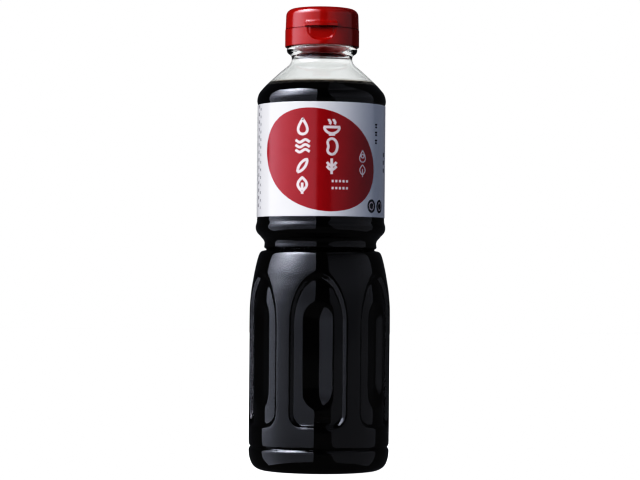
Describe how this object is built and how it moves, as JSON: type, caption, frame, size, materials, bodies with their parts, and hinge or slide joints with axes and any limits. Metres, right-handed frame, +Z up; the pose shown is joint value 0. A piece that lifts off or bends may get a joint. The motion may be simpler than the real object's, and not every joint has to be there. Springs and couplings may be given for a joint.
{
  "type": "soy sauce bottle",
  "caption": "Clear plastic bottle of dark soy sauce with sunken grip panels, a waist, a wrap label and a closed flip cap.",
  "frame": {"origin": "centre of the foot, on the surface the bottle stands on", "axes": "+Z up along the bottle's axis, -Y towards the front with the thumb tab and the label's disc, +X to the viewer's right"},
  "size_m": [0.0822, 0.0822, 0.27],
  "materials": {
    "clear_shell": "clear, glossy",
    "sauce": "dark liquid",
    "label_film": "satin film",
    "label_print": "satin film",
    "cap_plastic": "satin moulded plastic"
  },
  "bodies": {
    "root": {"bottle": "clear_shell", "soy_sauce": "sauce", "label": "label_film", "label_disc": "label_print", "cap": "cap_plastic"}
  },
  "joints": []
}
